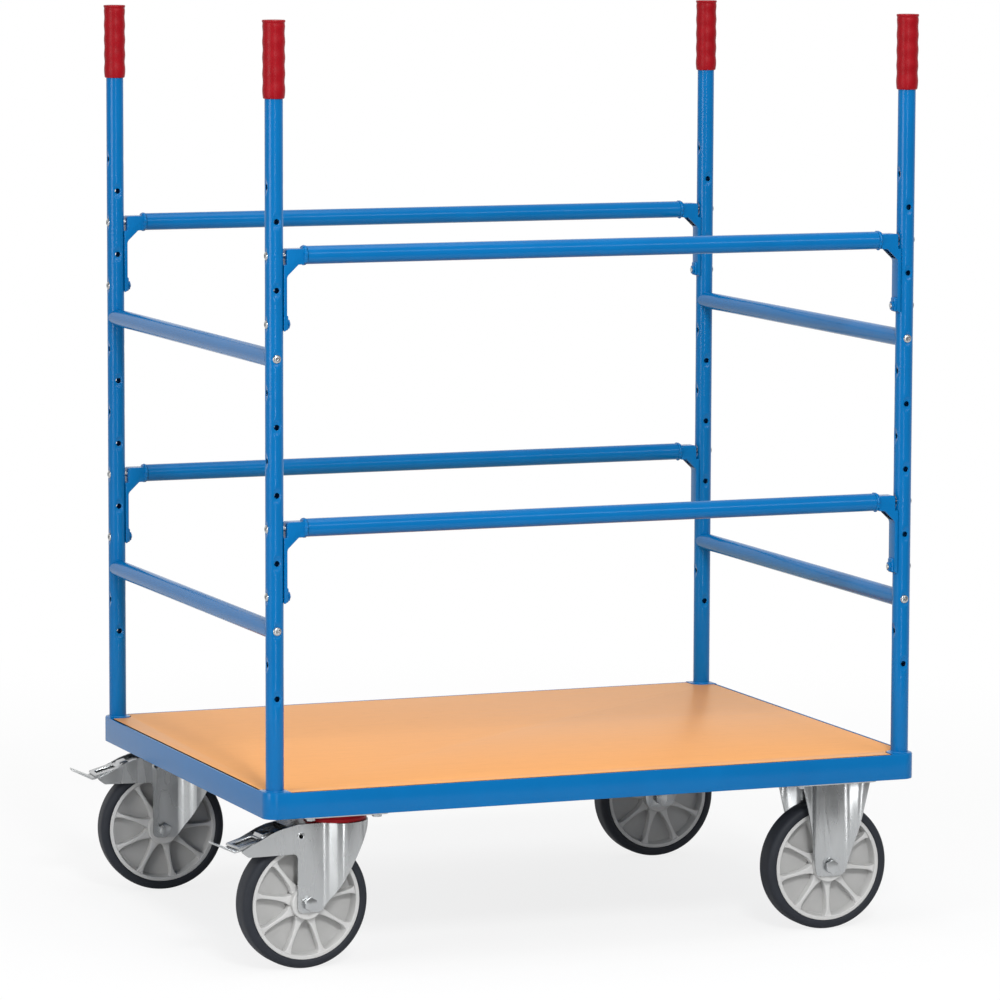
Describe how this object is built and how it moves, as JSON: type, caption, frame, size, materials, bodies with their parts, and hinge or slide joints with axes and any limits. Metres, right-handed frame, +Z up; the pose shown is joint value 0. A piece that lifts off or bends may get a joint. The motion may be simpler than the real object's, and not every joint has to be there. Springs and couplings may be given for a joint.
{
  "type": "material trolley",
  "caption": "Platform trolley with a board deck on castors, corner posts with grips, and two levels of cross rails and guard rails for long goods.",
  "frame": {"origin": "centre of the trolley on the floor, under the middle of its overall box", "axes": "+Z up, +X along the length towards the fixed castors, +Y across the width"},
  "size_m": [1.1242, 0.796, 1.405],
  "materials": {
    "blue_steel": "glossy blue powder coat",
    "beech_board": "sealed beech-coloured board with fine grain",
    "red_plastic": "satin red plastic",
    "zinc_steel": "satin bright zinc plating",
    "grey_plastic": "moulded grey plastic",
    "tyre_rubber": "dark blue-grey elastic rubber"
  },
  "bodies": {
    "trolley": {"deck_frame": "blue_steel", "deck_board": "beech_board", "castor_channel_left": "blue_steel", "castor_channel_right": "blue_steel", "post_front_left": "blue_steel", "grip_front_left": "red_plastic", "post_back_left": "blue_steel", "grip_back_left": "red_plastic", "post_front_right": "blue_steel", "grip_front_right": "red_plastic", "post_back_right": "blue_steel", "grip_back_right": "red_plastic", "cross_rail_lower_left": "blue_steel", "cross_rail_lower_right": "blue_steel", "guard_rail_lower_front": "blue_steel", "guard_rail_lower_back": "blue_steel", "rail_bracket_lower_front_left": "blue_steel", "rail_screw_lower_front_left": "zinc_steel", "rail_bracket_lower_back_left": "blue_steel", "rail_screw_lower_back_left": "zinc_steel", "rail_bracket_lower_front_right": "blue_steel", "rail_screw_lower_front_right": "zinc_steel", "rail_bracket_lower_back_right": "blue_steel", "rail_screw_lower_back_right": "zinc_steel", "cross_rail_upper_left": "blue_steel", "cross_rail_upper_right": "blue_steel", "guard_rail_upper_front": "blue_steel", "guard_rail_upper_back": "blue_steel", "rail_bracket_upper_front_left": "blue_steel", "rail_screw_upper_front_left": "zinc_steel", "rail_bracket_upper_back_left": "blue_steel", "rail_screw_upper_back_left": "zinc_steel", "rail_bracket_upper_front_right": "blue_steel", "rail_screw_upper_front_right": "zinc_steel", "rail_bracket_upper_back_right": "blue_steel", "rail_screw_upper_back_right": "zinc_steel", "swivel_plate_front": "zinc_steel", "fixed_fork_front": "zinc_steel", "axle_bolt_fixed_front": "zinc_steel", "swivel_plate_back": "zinc_steel", "fixed_fork_back": "zinc_steel", "axle_bolt_fixed_back": "zinc_steel"},
    "swivel_front": {"seal_ring_front": "red_plastic", "swivel_fork_front": "zinc_steel", "axle_bolt_swivel_front": "zinc_steel"},
    "brake_front": {"brake_pedal_front": "zinc_steel"},
    "release_front": {"toe_tongue_front": "zinc_steel"},
    "swivel_wheel_front": {"wheel_centre_swivel_front": "grey_plastic", "tyre_swivel_front": "tyre_rubber"},
    "fixed_wheel_front": {"wheel_centre_fixed_front": "grey_plastic", "tyre_fixed_front": "tyre_rubber"},
    "swivel_back": {"seal_ring_back": "red_plastic", "swivel_fork_back": "zinc_steel", "axle_bolt_swivel_back": "zinc_steel"},
    "brake_back": {"brake_pedal_back": "zinc_steel"},
    "release_back": {"toe_tongue_back": "zinc_steel"},
    "swivel_wheel_back": {"wheel_centre_swivel_back": "grey_plastic", "tyre_swivel_back": "tyre_rubber"},
    "fixed_wheel_back": {"wheel_centre_fixed_back": "grey_plastic", "tyre_fixed_back": "tyre_rubber"}
  },
  "joints": [
    {"name": "swivel_turn_front", "type": "hinge", "parent": "trolley", "child": "swivel_front", "pos_m": [-0.36293, -0.331, 0.22], "axis": [0, 0, 1], "continuous": true},
    {"name": "swivel_wheel_turn_front", "type": "hinge", "parent": "swivel_front", "child": "swivel_wheel_front", "pos_m": [-0.41685, -0.33401, 0.1], "axis": [-0.0558, 0.9984, 0], "continuous": true},
    {"name": "brake_press_front", "type": "hinge", "parent": "swivel_front", "child": "brake_front", "pos_m": [-0.42983, -0.33474, 0.202], "axis": [0.0558, -0.9984, 0], "range_deg": [0, 10]},
    {"name": "release_press_front", "type": "hinge", "parent": "brake_front", "child": "release_front", "pos_m": [-0.48724, -0.33795, 0.197], "axis": [0.0558, -0.9984, 0], "range_deg": [0, 6]},
    {"name": "fixed_wheel_turn_front", "type": "hinge", "parent": "trolley", "child": "fixed_wheel_front", "pos_m": [0.43607, -0.331, 0.1], "axis": [0, 1, 0], "continuous": true},
    {"name": "swivel_turn_back", "type": "hinge", "parent": "trolley", "child": "swivel_back", "pos_m": [-0.36293, 0.331, 0.22], "axis": [0, 0, 1], "continuous": true},
    {"name": "swivel_wheel_turn_back", "type": "hinge", "parent": "swivel_back", "child": "swivel_wheel_back", "pos_m": [-0.41664, 0.33665, 0.1], "axis": [0.1045, 0.9945, 0], "continuous": true},
    {"name": "brake_press_back", "type": "hinge", "parent": "swivel_back", "child": "brake_back", "pos_m": [-0.42956, 0.338, 0.202], "axis": [-0.1045, -0.9945, 0], "range_deg": [0, 10]},
    {"name": "release_press_back", "type": "hinge", "parent": "brake_back", "child": "release_back", "pos_m": [-0.48675, 0.34401, 0.197], "axis": [-0.1045, -0.9945, 0], "range_deg": [0, 6]},
    {"name": "fixed_wheel_turn_back", "type": "hinge", "parent": "trolley", "child": "fixed_wheel_back", "pos_m": [0.43607, 0.331, 0.1], "axis": [0, 1, 0], "continuous": true}
  ]
}
